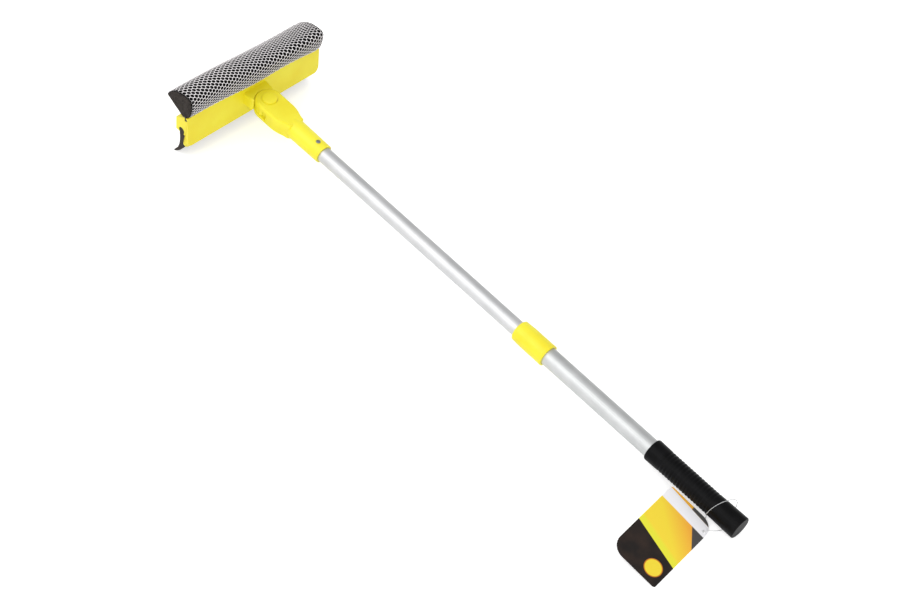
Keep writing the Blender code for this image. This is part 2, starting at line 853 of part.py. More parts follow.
def make_collar(pivot, material):
    outside = outer_radius + gap + collar_wall
    lip_bore = tube_radius + gap
    step = collar_start + collar_lip
    profile = [
        (collar_end, outer_radius + gap),
        (collar_end, outside),
        (collar_end - collar_rim, outside + gap),
        (collar_end - collar_rim - gap, outside),
        (collar_start + collar_ramp, outside),
        (collar_start + collar_edge, outside - collar_taper),
        (collar_start, outside - collar_taper - collar_edge),
        (collar_start, lip_bore),
        (step, lip_bore),
        (step, outer_radius + gap),
    ]
    return as_part(turned("collar", profile), pivot, material)


def make_outer_tube(pivot, material):
    tube = ring("outer_tube", outer_start, outer_end, outer_radius - tube_wall, outer_radius)
    return as_part(tube, pivot, material)


def make_tube_plug(pivot, material):
    """The plug in the outer tube's end: a flange on the tube's edge and a hollow skirt."""
    flange_start = outer_end + gap
    skirt = outer_radius - tube_wall - gap
    profile = [
        (flange_start + plug_flange - gap, 0),
        (flange_start + plug_flange - gap, outer_radius),
        (flange_start, outer_radius),
        (flange_start, skirt),
        (outer_end - plug_length, skirt),
        (outer_end - plug_length, skirt - tube_wall),
        (flange_start, skirt - tube_wall),
        (flange_start, 0),
    ]
    return as_part(turned("tube_plug", profile), pivot, material)


def grip_profile():
    """The grip's outer side from its closed end to its mouth, with its rings."""
    waist = grip_radius - grip_waist
    points = [
        (grip_end, 0),
        (grip_end, grip_radius + grip_flare - grip_edge),
        (grip_end - grip_edge / 3, grip_radius + grip_flare - grip_edge / 3),
        (grip_end - grip_edge, grip_radius + grip_flare),
    ]
    for i in reversed(range(rib_count)):
        start = grip_start + rib_start + i * rib_pitch
        points.append((start + rib_pitch * 0.8, waist))
        points.append((start + rib_pitch * 0.45, waist - rib_depth))
        points.append((start + rib_pitch * 0.1, waist))
    points.append((grip_start + grip_edge, grip_radius))
    points.append((grip_start, grip_radius - grip_edge / 2))
    return points


def make_grip(pivot, material):
    bore = outer_radius + gap
    profile = grip_profile()
    profile += [(grip_start, bore), (grip_end - grip_end_wall, bore), (grip_end - grip_end_wall, 0)]
    return as_part(turned("grip", profile), pivot, material)


def resting_pitch():
    """The pitch at which the blade's tip and the grip's end touch one floor."""
    tip = (bead_centre()[0] - blade_hook, -lip_bottom - blade_free)
    end = (grip_end - grip_edge, -grip_radius - grip_flare)
    return math.atan2(end[1] - tip[1], end[0] - tip[0]), tip


def floor_height(x):
    """Height of the floor in the tool's frame, under a place along the pole."""
    pitch, tip = resting_pitch()
    return tip[1] + (x - tip[0]) * math.tan(pitch)


def tag_outline():
    """The card from its lower right corner: width to -X, length to +Y."""
    big = tag_big_corner
    small = tag_small_corner
    right_angle = math.radians(90)
    corners = [
        ((-small, small), small, -right_angle, 4),
        ((-big, tag_length - big), big, 0, 9),
        ((-tag_width + small, tag_length - small), small, right_angle, 4),
        ((-tag_width + big, big), big, 2 * right_angle, 9),
    ]
    points = []
    for centre, radius, start, count in corners:
        points += arc(centre, radius, start, start + right_angle, count)
    return points


def tag_place():
    """The card's own frame: on the floor along its right edge, its left side raised."""
    corner_x = grip_end - tag_from_end
    pitch = resting_pitch()[0]
    corner = Matrix.Translation((corner_x, -tag_aside, floor_height(corner_x)))
    level = Matrix.Rotation(-pitch, 4, "Y")
    turn = Matrix.Rotation(tag_turn, 4, "Z")
    lower_edge = Matrix.Translation((0, -tag_length, 0))
    tilt = Matrix.Rotation(tag_tilt, 4, "Y")
    off_floor = Matrix.Translation((0, 0, tag_thickness / 2 + gap / 3))
    return corner @ level @ turn @ tilt @ lower_edge @ off_floor


def tag_hole_place():
    return (-tag_hole_in, tag_length - tag_hole_down, 0)


def make_tag(pivot, material):
    card = plate("hang_tag", tag_outline(), tag_thickness)
    hole = rod("tag_hole", -overrun, overrun, tag_hole_radius, place=tag_hole_place())
    hole.parent = card
    combine(card, hole, "DIFFERENCE")
    card.matrix_world = tag_place()
    return as_part(card, pivot, material)


def grip_radius_at(x):
    """The grip's smooth radius at a place past its rings."""
    flare_start = grip_start + rib_start + rib_count * rib_pitch
    share = (x - flare_start) / (grip_end - grip_edge - flare_start)
    return grip_radius - grip_waist + (grip_waist + grip_flare) * min(max(share, 0), 1)


def loop_route():
    """The thin loop: from the card's hole round the grip and back through the hole."""
    card = tag_place()
    hole = card @ Vector(tag_hole_place())
    # Beside the hole, as shares of the hole's radius in the card's own frame.
    below_share = Vector((-0.3, 0.4, -0.7))
    above_share = Vector((0.45, 0.15, 0.9))
    below = card.to_3x3() @ (below_share * tag_hole_radius)
    above = card.to_3x3() @ (above_share * tag_hole_radius)
    # Under the card and round its edge: shares of the grip's radius along the pole from
    # the hole and across it, and the height over the floor as a share of the wire.
    under_shares = [(-0.39, -1.37, 0.68), (-0.74, -0.87, 0.75), (-0.88, -0.56, 1.4), (-0.91, -0.54, 4.1)]
    # Round the grip: the angle from +Y over the top, and in shares of its radius the place
    # along the pole and how far the stiff line stands off the grip.
    grip_shares = [
        (228, -0.88, 0.0),
        (205, -0.83, 0.0),
        (181, -0.75, 0.0),
        (154, -0.65, 0.0),
        (130, -0.55, 0.0),
        (100, -0.39, 0.0),
        (72, -0.2, 0.1),
        (42, 0.02, 0.34),
        (10, 0.2, 0.5),
        (-20, 0.34, 0.42),
        (-45, 0.45, 0.18),
        (-68, 0.52, 0.0),
    ]
    # Under the grip and over the card's edge, in the same shares as under the card.
    back_shares = [(0.7, -0.04, 0.72), (0.83, -0.53, 0.95), (0.52, -1.22, 3.4), (0.22, -1.6, 5.3)]
    route = [hole, hole + below]
    for along, across, up in under_shares:
        x = hole.x + grip_radius * along
        route.append(Vector((x, grip_radius * across, floor_height(x) + loop_wire * up)))
    for degrees, along, slack in grip_shares:
        x = hole.x + grip_radius * along
        off = grip_radius_at(x) + gap + loop_wire / 2 + grip_radius * slack
        angle = math.radians(degrees)
        route.append(Vector((x, off * math.cos(angle), off * math.sin(angle))))
    for along, across, up in back_shares:
        x = hole.x + grip_radius * along
        route.append(Vector((x, grip_radius * across, floor_height(x) + loop_wire * up)))
    route.append(hole + above)
    return route


def make_loop(pivot, material):
    route = loop_route()
    closed = route[-2:] + route + route[:2]
    points = smooth_through(closed, 3)[6:-4]
    curve = bpy.data.curves.new("tag_loop", "CURVE")
    curve.dimensions = "3D"
    curve.bevel_depth = loop_wire / 2
    curve.bevel_resolution = 2
    curve.render_resolution_u = 0
    spline = curve.splines.new("POLY")
    spline.points.add(len(points) - 1)
    for point, place in zip(spline.points, points):
        point.co = (*place, 1)
    spline.use_cyclic_u = True
    return as_part(curve_to_mesh(as_cutter("tag_loop", curve)), pivot, material)


def lay_on_floor():
    """Pitches the tool onto its blade and grip, and puts the origin at its box's bottom centre."""
    root.rotation_euler = (0, resting_pitch()[0], 0)
    bpy.context.view_layer.update()
    graph = bpy.context.evaluated_depsgraph_get()
    low = Vector((math.inf, math.inf, math.inf))
    high = -low
    for obj in parts.objects:
        if obj.type != "MESH":
            continue
        shown = obj.evaluated_get(graph)
        for vertex in shown.to_mesh().vertices:
            place = shown.matrix_world @ vertex.co
            low = Vector(map(min, low, place))
            high = Vector(map(max, high, place))
        shown.to_mesh_clear()
    root.location = (-(low.x + high.x) / 2, -(low.y + high.y) / 2, -low.z)
    bpy.context.view_layer.update()


def build():
    global parts, cutters, root
    clear_scene()
    parts = new_collection("squeegee")
    cutters = new_collection("squeegee_cutters")
    root = new_pivot("outer_pole", (0, 0, 0), None)
    lock_pivot = new_pivot("twist_lock_pivot", (tube_end, 0, 0), root)
    pole_pivot = new_pivot("inner_pole_pivot", (0, 0, 0), lock_pivot)
    pole_pivot.location = (-tube_end, 0, 0)
    head_pivot = new_pivot("head_pivot", (0, 0, 0), pole_pivot)
    button_pivot = new_pivot("button_pivot", (0, 0, 0), pole_pivot)
    tag_pivot = new_pivot("tag_pivot", (grip_end - tag_from_end, 0, 0), root)

    yellow = new_material("yellow_plastic", (0.92, 0.79, 0.03), 0.3)
    black_foam = new_material("black_foam", (0.03, 0.03, 0.03), 0.95)
    pale_net = new_material("pale_net", (0.7, 0.66, 0.66), 0.8)
    dark_rubber = new_material("dark_rubber", (0.05, 0.05, 0.055), 0.6)
    black_rubber = new_material("black_rubber", (0.012, 0.012, 0.013), 0.5)
    aluminium = new_material("satin_aluminium", (0.8, 0.81, 0.82), 0.32, 1.0)
    steel = new_material("zinc_plated_steel", (0.6, 0.6, 0.6), 0.35, 1.0)
    black_plastic = new_material("black_plastic", (0.02, 0.02, 0.02), 0.45)
    white_plastic = new_material("white_plastic", (0.8, 0.8, 0.78), 0.4)
    card = new_material("printed_card", (0.85, 0.6, 0.08), 0.5)
    clear_plastic = new_material("clear_plastic", (0.8, 0.8, 0.8), 0.2)

    make_head_body(head_pivot, yellow)
    make_sponge(head_pivot, black_foam, pale_net)
    make_rail(head_pivot, black_plastic)
    make_blade(head_pivot, dark_rubber)

    make_socket(pole_pivot, yellow)
    make_button(button_pivot, yellow)
    make_spring(pole_pivot, steel)
    make_pivot_parts(pole_pivot, steel, yellow)
    make_socket_screw(pole_pivot, steel)

    make_inner_tube(pole_pivot, aluminium)
    make_lock(pole_pivot, lock_pivot, white_plastic, steel)
    make_collar(root, yellow)
    make_outer_tube(root, aluminium)
    make_tube_plug(root, white_plastic)
    make_grip(root, black_rubber)

    make_tag(tag_pivot, card)
    make_loop(tag_pivot, clear_plastic)
    lay_on_floor()


build()
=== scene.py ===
# Telescopic window squeegee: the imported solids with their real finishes, a foam sponge in a
# knitted net, and a white studio.
import bisect
import json
import math

import bpy
import bmesh
from mathutils import Matrix, Vector
from mathutils.bvhtree import BVHTree


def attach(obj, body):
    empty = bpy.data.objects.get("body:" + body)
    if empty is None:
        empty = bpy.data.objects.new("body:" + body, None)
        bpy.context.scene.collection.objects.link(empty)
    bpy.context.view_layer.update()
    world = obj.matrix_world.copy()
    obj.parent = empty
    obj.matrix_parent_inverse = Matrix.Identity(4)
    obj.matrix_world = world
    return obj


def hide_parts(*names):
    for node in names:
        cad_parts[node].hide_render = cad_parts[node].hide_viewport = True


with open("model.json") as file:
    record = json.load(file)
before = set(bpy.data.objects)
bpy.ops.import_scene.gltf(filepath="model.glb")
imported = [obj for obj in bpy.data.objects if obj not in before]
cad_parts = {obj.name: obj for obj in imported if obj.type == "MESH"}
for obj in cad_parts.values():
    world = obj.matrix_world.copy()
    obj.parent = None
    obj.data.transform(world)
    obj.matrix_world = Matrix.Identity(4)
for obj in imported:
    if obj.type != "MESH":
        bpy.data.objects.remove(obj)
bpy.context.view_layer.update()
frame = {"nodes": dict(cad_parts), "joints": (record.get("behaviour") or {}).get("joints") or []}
print("packed model loaded:", len(frame["nodes"]), "nodes")

mm = 0.001

# The tool's own directions: x along the pole to the grip, z up the swivel's axis, y along the
# head to its far end. The swivel is at zero.
jointNamed = {joint["name"]: joint for joint in frame["joints"]}
swivelPlace = Vector(jointNamed["head_swivel"]["pos_m"])
poleLine = Vector(jointNamed["pole_extend"]["axis"]).normalized()
swivelLine = Vector(jointNamed["head_swivel"]["axis"]).normalized()
headLine = swivelLine.cross(poleLine)
turnToTool = Matrix((poleLine, headLine, swivelLine)).transposed()
toolToWorld = Matrix.Translation(swivelPlace) @ turnToTool.to_4x4()
worldToTool = toolToWorld.inverted()


# The camera, where the photograph was taken from
camera = {
    "place": (1279.6, -1425.2, 2057.1),        # mm, in the tool's directions
    "right": (0.694665, 0.700931, 0.161666),
    "up": (-0.628343, 0.481864, 0.610732),
    "forward": (-0.35018, 0.525835, -0.775159),
    "sensor": 36,                              # mm
    "lens": 93.913,                            # mm
    "clip": (0.05, 50),                        # m
}


def makeCamera():
    data = bpy.data.cameras.new("camera")
    data.sensor_width = camera["sensor"]
    data.lens = camera["lens"]
    data.clip_start, data.clip_end = camera["clip"]
    seer = bpy.data.objects.new("camera", data)
    bpy.context.scene.collection.objects.link(seer)
    sides = (Vector(camera["right"]), Vector(camera["up"]), -Vector(camera["forward"]))
    axes = Matrix(sides).transposed()
    place = Matrix.Translation(Vector(camera["place"]) * mm)
    seer.matrix_world = toolToWorld @ place @ axes.to_4x4()
    bpy.context.scene.camera = seer


makeCamera()
print("camera set")


# What the materials share
def linearColour(hexText):
    # sRGB hex to the linear values that the shaders take
    channels = [int(hexText[i:i + 2], 16) / 255 for i in (0, 2, 4)]
    linear = [c / 12.92 if c <= 0.04045 else ((c + 0.055) / 1.055) ** 2.4 for c in channels]
    return (*linear, 1.0)


def addNode(tree, kind, settings=None):
    # one node with its settings: what feeds a socket, a socket's own value or hex colour, a
    # ramp's stops, or an option of the node
    node = tree.nodes.new(kind)
    for key, value in (settings or {}).items():
        if key == "stops":
            for element, (position, hexText) in zip(node.color_ramp.elements, value):
                element.position = position
                element.color = linearColour(hexText)
        elif isinstance(value, bpy.types.NodeSocket):
            tree.links.new(value, node.inputs[key])
        elif isinstance(key, int) or key in node.inputs:
            node.inputs[key].default_value = linearColour(value) if isinstance(value, str) else value
        else:
            setattr(node, key, value)
    return node


def startMaterial(name, toLocal=worldToTool):
    # a Principled shader, and the place in mm along the tool's directions or a piece's own
    material = bpy.data.materials.new(name)
    material.use_nodes = True
    tree = material.node_tree
    tree.nodes.clear()
    shader = addNode(tree, "ShaderNodeBsdfPrincipled")
    addNode(tree, "ShaderNodeOutputMaterial", {"Surface": shader.outputs["BSDF"]})
    where = addNode(tree, "ShaderNodeTexCoord")
    inMm = addNode(tree, "ShaderNodeVectorMath",
                   {"operation": "SCALE", 0: where.outputs["Object"], "Scale": 1 / mm})
    place = addNode(tree, "ShaderNodeMapping", {
        "Vector": inMm.outputs["Vector"],
        "Location": toLocal.translation / mm,
        "Rotation": toLocal.to_euler(),
    })
    return material, tree, shader, place.outputs["Vector"]


def finishSurface(tree, shader, pattern, grain, values):
    # colour and roughness follow the slow pattern, and the fine grain is relief
    colour = addNode(tree, "ShaderNodeValToRGB", {"Fac": pattern, "stops": values["colours"]})
    low, high = values["roughness"]
    rough = addNode(tree, "ShaderNodeMapRange", {"Value": pattern, "To Min": low, "To Max": high})
    relief = addNode(tree, "ShaderNodeBump",
                     {"Height": grain, "Strength": values["bump"], "Distance": values["relief"] * mm})
    tree.links.new(colour.outputs["Color"], shader.inputs["Base Color"])
    tree.links.new(rough.outputs["Result"], shader.inputs["Roughness"])
    tree.links.new(relief.outputs["Normal"], shader.inputs["Normal"])
    return colour.outputs["Color"], rough.outputs["Result"]


# Injection-moulded polypropylene: bright lemon, a little waxy, with a soft broad gloss, the
# mould's spark-eroded grain and a few handling scuffs
yellowMoulding = {
    "colours": [(0.3, "F2E01A"), (0.65, "FAEF36")],
    "cloudSize": 45,         # mm, slow changes where the wall gets thinner
    "grainSize": 0.55,       # mm; real grain is about 0.1, too fine to show
    "scuffSize": (9, 1.2),   # mm along and across a scuff
    "scuffTurn": (0.5, 0.3, 0.9),        # radians, askew to the tool's own directions
    "scuffReach": (0.6, 0.72),           # the noise where a scuff begins, and where it is full
    "scuffRoughness": 0.14,
    "roughness": (0.3, 0.4),
    "bump": 0.12,
    "relief": 0.1,           # mm
    "ior": 1.49,
    "subsurface": 0.15,
    "subsurfaceSpread": (1.0, 0.8, 0.2),
    "subsurfaceDepth": 2,    # mm
}


def makeYellowMoulding():
    values = yellowMoulding
    material, tree, shader, place = startMaterial("yellowPolypropylene")
    cloud = addNode(tree, "ShaderNodeTexNoise", {
        "Vector": place, "Scale": 1 / values["cloudSize"], "Detail": 3,
    })
    grain = addNode(tree, "ShaderNodeTexNoise", {
        "Vector": place, "Scale": 1 / values["grainSize"], "Detail": 2,
    })
    rough = finishSurface(tree, shader, cloud.outputs["Fac"], grain.outputs["Fac"], values)[1]
    long, wide = values["scuffSize"]
    slanted = addNode(tree, "ShaderNodeMapping", {
        "Vector": place, "Rotation": values["scuffTurn"], "Scale": (1 / long, 1 / wide, 1 / wide),
    })
    scuff = addNode(tree, "ShaderNodeTexNoise", {
        "Vector": slanted.outputs["Vector"], "Scale": 1, "Detail": 4,
    })
    start, end = values["scuffReach"]
    mark = addNode(tree, "ShaderNodeMapRange", {
        "Value": scuff.outputs["Fac"], "From Min": start, "From Max": end,
        "To Max": values["scuffRoughness"],
    })
    scuffed = addNode(tree, "ShaderNodeMath", {
        "operation": "ADD", 0: rough, 1: mark.outputs["Result"],
    })
    tree.links.new(scuffed.outputs["Value"], shader.inputs["Roughness"])
    shader.inputs["IOR"].default_value = values["ior"]
    shader.inputs["Subsurface Weight"].default_value = values["subsurface"]
    shader.inputs["Subsurface Radius"].default_value = values["subsurfaceSpread"]
    shader.inputs["Subsurface Scale"].default_value = values["subsurfaceDepth"] * mm
    return material


# Drawn and satin anodised aluminium: pale metal with faint draw lines along the tube, and
# patches where the etch took differently
innerAluminium = {
    "colours": [(0.3, "CBCCCD"), (0.7, "E0E0E1")],
    "lineWidth": 0.3,        # mm across a draw line; real ones are about 0.05
    "lineLength": 60,        # mm
    "hazeSize": 22,          # mm
    "roughness": (0.42, 0.54),
    "bump": 0.06,
    "relief": 0.05,          # mm
}
outerAluminium = dict(innerAluminium, colours=[(0.3, "C2C4C4"), (0.7, "DADBDB")])


def makeSatinAluminium(name, values):
    material, tree, shader, place = startMaterial(name)
    long, wide = values["lineLength"], values["lineWidth"]
    drawn = addNode(tree, "ShaderNodeMapping", {
        "Vector": place, "Scale": (1 / long, 1 / wide, 1 / wide),
    })
    lines = addNode(tree, "ShaderNodeTexNoise", {
        "Vector": drawn.outputs["Vector"], "Scale": 1, "Detail": 3,
    })
    haze = addNode(tree, "ShaderNodeTexNoise", {
        "Vector": place, "Scale": 1 / values["hazeSize"], "Detail": 4,
    })
    both = addNode(tree, "ShaderNodeMix", {0: 0.5, 2: lines.outputs["Fac"], 3: haze.outputs["Fac"]})
    finishSurface(tree, shader, both.outputs["Result"], lines.outputs["Fac"], values)
    shader.inputs["Metallic"].default_value = 1.0
    return material


# Moulded thermoplastic rubber of the grip: near black and satin, dusty in patches, fine pores
gripRubber = {
    "colours": [(0.42, "050506"), (0.8, "101012")],
    "patchSize": 9,          # mm
    "poreSize": 0.4,         # mm; real pores are finer
    "gloss": 0.1,
    "roughness": (0.3, 0.48),
    "bump": 0.25,
    "relief": 0.1,           # mm
}


def makeGripRubber():
    values = gripRubber
    material, tree, shader, place = startMaterial("blackGripRubber")
    patch = addNode(tree, "ShaderNodeTexNoise", {
        "Vector": place, "Scale": 1 / values["patchSize"], "Detail": 5,
    })
    pores = addNode(tree, "ShaderNodeTexNoise", {
        "Vector": place, "Scale": 1 / values["poreSize"], "Detail": 2,
    })
    finishSurface(tree, shader, patch.outputs["Fac"], pores.outputs["Fac"], values)
    shader.inputs["Specular IOR Level"].default_value = values["gloss"]
    return material


# Extruded rubber strip of the blade: matt dark grey-brown with drag lines along its length,
# and the greyish bloom that comes to the surface
bladeRubber = {
    "colours": [(0.35, "241E1B"), (0.75, "362D29")],
    "bloomSize": 14,         # mm
    "lineWidth": 0.5,        # mm across a drag line
    "lineLength": 90,        # mm
    "gloss": 0.25,
    "roughness": (0.5, 0.7),
    "bump": 0.2,
    "relief": 0.1,           # mm
}


def makeBladeRubber():
    values = bladeRubber
    material, tree, shader, place = startMaterial("darkBladeRubber")
    long, wide = values["lineLength"], values["lineWidth"]
    drawn = addNode(tree, "ShaderNodeMapping", {
        "Vector": place, "Scale": (1 / wide, 1 / long, 1 / wide),
    })
    drag = addNode(tree, "ShaderNodeTexNoise", {
        "Vector": drawn.outputs["Vector"], "Scale": 1, "Detail": 3,
    })
    bloom = addNode(tree, "ShaderNodeTexNoise", {
        "Vector": place, "Scale": 1 / values["bloomSize"], "Detail": 5,
    })
    finishSurface(tree, shader, bloom.outputs["Fac"], drag.outputs["Fac"], values)
    shader.inputs["Specular IOR Level"].default_value = values["gloss"]
    return material


# Open-cell polyurethane foam: dark brownish grey walls round darker cells. Under the net it
# is in the strands' shade and looks black.
cellFoam = {
    "colours": [(0.45, "1A1817"), (1.0, "433E3B")],
    # painted shade: the near-black colour of the foam under the net, for the strands' shade
    "underNetShade": "0C0C0C",
    "bareFrom": (100.9, 101.7),      # mm along the head, where the bare end starts
    "cellSize": 0.9,                 # mm; real cells are about 0.5
    "cellShare": 0.75,               # how much the cells count against the slow cloud
    "cloudSize": 6,                  # mm
    "gloss": 0.1,
    "roughness": (0.9, 1.0),
    "bump": 0.6,
    "relief": 0.4,                   # mm
}


def makeCellFoam():
    values = cellFoam
    material, tree, shader, place = startMaterial("openCellFoam")
    cells = addNode(tree, "ShaderNodeTexVoronoi", {
        "Vector": place, "Scale": 1 / values["cellSize"],
    })
    cloud = addNode(tree, "ShaderNodeTexNoise", {
        "Vector": place, "Scale": 1 / values["cloudSize"], "Detail": 4,
    })
    mixed = addNode(tree, "ShaderNodeMath", {
        "operation": "MULTIPLY_ADD",
        0: cells.outputs["Distance"], 1: values["cellShare"], 2: cloud.outputs["Fac"],
    })
    bare = finishSurface(tree, shader, mixed.outputs["Value"], cells.outputs["Distance"], values)[0]
    # painted shade: all of the foam under the net takes a near-black colour for the strands' shade, and
    # only the bare ends keep the foam's own colours
    along = addNode(tree, "ShaderNodeSeparateXYZ", {"Vector": place})
    off = addNode(tree, "ShaderNodeMath", {"operation": "ABSOLUTE", 0: along.outputs["Y"]})
    start, end = values["bareFrom"]
    atEnd = addNode(tree, "ShaderNodeMapRange", {
        "Value": off.outputs["Value"], "From Min": start, "From Max": end,
    })
    shadeOrBare = addNode(tree, "ShaderNodeMix",
                   {"data_type": "RGBA", 0: atEnd.outputs["Result"], 6: values["underNetShade"], 7: bare})
    tree.links.new(shadeOrBare.outputs[2], shader.inputs["Base Color"])
    shader.inputs["Specular IOR Level"].default_value = values["gloss"]
    return material


# Knitted polyester net: pale grey yarn of many filaments, with a soft sheen, and painted shade that
# darkens the strands' sides towards the holes
netYarn = {
    # painted shade: the dark stop is the strands' sides down at the holes, the pale stop their crests
    "colours": [(0.0, "A8A0A2"), (0.75, "FAF6F7")],
    "filament": 0.3,         # mm between filaments; real ones are ten times finer
    "filamentShare": 0.28,   # how much they count against the strand's height
    "twist": 0.45,           # how much the filaments are drawn out along the strand
    "roughness": (0.75, 0.68),
    "bump": 0.5,
    "relief": 0.2,           # mm
    "sheen": 0.2,
    "sheenRoughness": 0.4,
}


def makeNetYarn():
    values = netYarn
    material, tree, shader, place = startMaterial("polyesterNetYarn")
    # painted shade: the colour follows the strand's height, darker down its sides to the hole's rim, with
    # the filaments' grain on top
    height = addNode(tree, "ShaderNodeAttribute", {"attribute_name": "strandHeight"})
    drawn = addNode(tree, "ShaderNodeMapping", {"Vector": place, "Scale": (1, values["twist"], 1)})
    twist = addNode(tree, "ShaderNodeTexNoise",
                    {"Vector": drawn.outputs["Vector"], "Scale": 1 / values["filament"], "Detail": 2})
    shade = addNode(tree, "ShaderNodeMath", {
        "operation": "MULTIPLY_ADD",
        0: twist.outputs["Fac"], 1: values["filamentShare"], 2: height.outputs["Fac"],
    })
    finishSurface(tree, shader, shade.outputs["Value"], twist.outputs["Fac"], values)
    shader.inputs["Sheen Weight"].default_value = values["sheen"]
    shader.inputs["Sheen Roughness"].default_value = values["sheenRoughness"]
    return material


# The finishes that need no more than a mottle and a grain, in mm: zinc-plated steel is bluish
# grey with a faint crystal mottle, natural nylon is milky, black polypropylene plain and satin
plainFinishes = {
    "zincPlatedSteel": {
        "colours": [(0.3, "75787B"), (0.7, "A9ADB1")], "mottleSize": 1.2, "grainSize": 0.4,
        "metallic": 1.0, "roughness": (0.25, 0.42), "bump": 0.05, "relief": 0.05,
    },
    "naturalNylon": {
        "colours": [(0.3, "D8D4C6"), (0.7, "EFEDE4")], "mottleSize": 8, "grainSize": 0.8,
        "metallic": 0.0, "roughness": (0.4, 0.5), "bump": 0.15, "relief": 0.1,
    },
    "blackPolypropylene": {
        "colours": [(0.3, "121212"), (0.7, "1E1E1F")], "mottleSize": 8, "grainSize": 0.8,
        "metallic": 0.0, "roughness": (0.45, 0.55), "bump": 0.15, "relief": 0.1,
    },
}


def makePlainFinish(name):
    values = plainFinishes[name]
    material, tree, shader, place = startMaterial(name)
    mottle = addNode(tree, "ShaderNodeTexNoise", {
        "Vector": place, "Scale": 1 / values["mottleSize"], "Detail": 4,
    })
    grain = addNode(tree, "ShaderNodeTexNoise", {
        "Vector": place, "Scale": 1 / values["grainSize"], "Detail": 3,
    })
    finishSurface(tree, shader, mottle.outputs["Fac"], grain.outputs["Fac"], values)
    shader.inputs["Metallic"].default_value = values["metallic"]
    return material


# Clear drawn nylon line of the tag's loop: glassy, with a pale edge and faint ripples
clearLine = {
    "colours": [(0.0, "D5D7D8"), (1.0, "F2F3F3")],
    "rippleSize": 1.5,       # mm
    "roughness": (0.1, 0.2),
    "bump": 0.15,
    "relief": 0.1,           # mm
    "transmission": 0.5,
    "ior": 1.53,
}


def makeClearLine():
    values = clearLine
    material, tree, shader, place = startMaterial("clearNylonLine")
    ripple = addNode(tree, "ShaderNodeTexNoise", {
        "Vector": place, "Scale": 1 / values["rippleSize"], "Detail": 2,
    })
    finishSurface(tree, shader, ripple.outputs["Fac"], ripple.outputs["Fac"], values)
    shader.inputs["Transmission Weight"].default_value = values["transmission"]
    shader.inputs["IOR"].default_value = values["ior"]
    return material


# Printed and varnished card: plain colour fields with slanted borders, a disc, and the
# paper's faint fibre in the gloss. Places on the card are in mm from its lower right corner:
# to the left, which is negative, and up.
card = {
    "turn": math.radians(5.0),           # on the floor
    "tilt": math.radians(13.3),          # the left side's rise
    "width": 62.6,
    # a border's height at the left edge and at the right one, and how soft it is
    "limeBorder": (49.1, 33.6, 0.3),
    "warmBorder": (57.0, 41.6, 2.5),
    "whiteBorder": (90.5, 88.0, 0.3),
    "stripBorder": (106.6, 102.0, 0.3),
    "dark": [(0.4, "1B1513"), (0.75, "32241D")],
    "lime": "E6E23A",
    "warm": [(0.1, "F2D63A"), (0.95, "F2A23A")],
    "warmReach": (36, 80),               # mm, from yellow to orange
    "warmSlant": 0.75,
    "white": "F3F2F5",
    "strip": "F5B63C",
    "stripEnd": "555352",
    "stripEndFrom": -30.0,
    "wedge": "4B4948",
    "wedgeFrom": 50.2,                   # where its slanted side crosses the card's lower edge
    "wedgeSlant": 0.76,
    "disc": "EFD638",
    "discRim": "C8781E",
    "discPlace": (-15.4, 17.1),
    "discRadius": 9.6,
    "rimRadius": 10.7,
    "discBlur": 0.3,
    "edgeBlur": 0.4,                     # of the wedge's and the strip's upright edges
    "fibreSize": 0.6,                    # mm; real fibres are finer
    "smokeSize": 18,                     # mm
    "gloss": 0.25,
    "roughness": (0.34, 0.46),
    "bump": 0.08,
    "relief": 0.1,                       # mm
}


def cardFrame():
    # the card's own directions, from how it lies, and its lower right corner, from its mesh
    axes = (Matrix.Rotation(card["turn"], 4, "Z") @ Matrix.Rotation(card["tilt"], 4, "Y")).inverted()
    spots = [axes @ vertex.co for vertex in frame["nodes"]["hang_tag"].data.vertices]
    corner = Vector((max(spot.x for spot in spots), min(spot.y for spot in spots), spots[0].z))
    return Matrix.Translation(-corner) @ axes


def aboveBorder(tree, across, up, border):
    # 1 above a slanted border
    left, right, blur = border
    slope = (left - right) / card["width"]
    level = addNode(tree, "ShaderNodeMath", {
        "operation": "MULTIPLY_ADD", 0: across, 1: slope, 2: up,
    })
    step = addNode(tree, "ShaderNodeMapRange",
                   {"Value": level.outputs["Value"], "From Min": right - blur, "From Max": right + blur})
    return step.outputs["Result"]


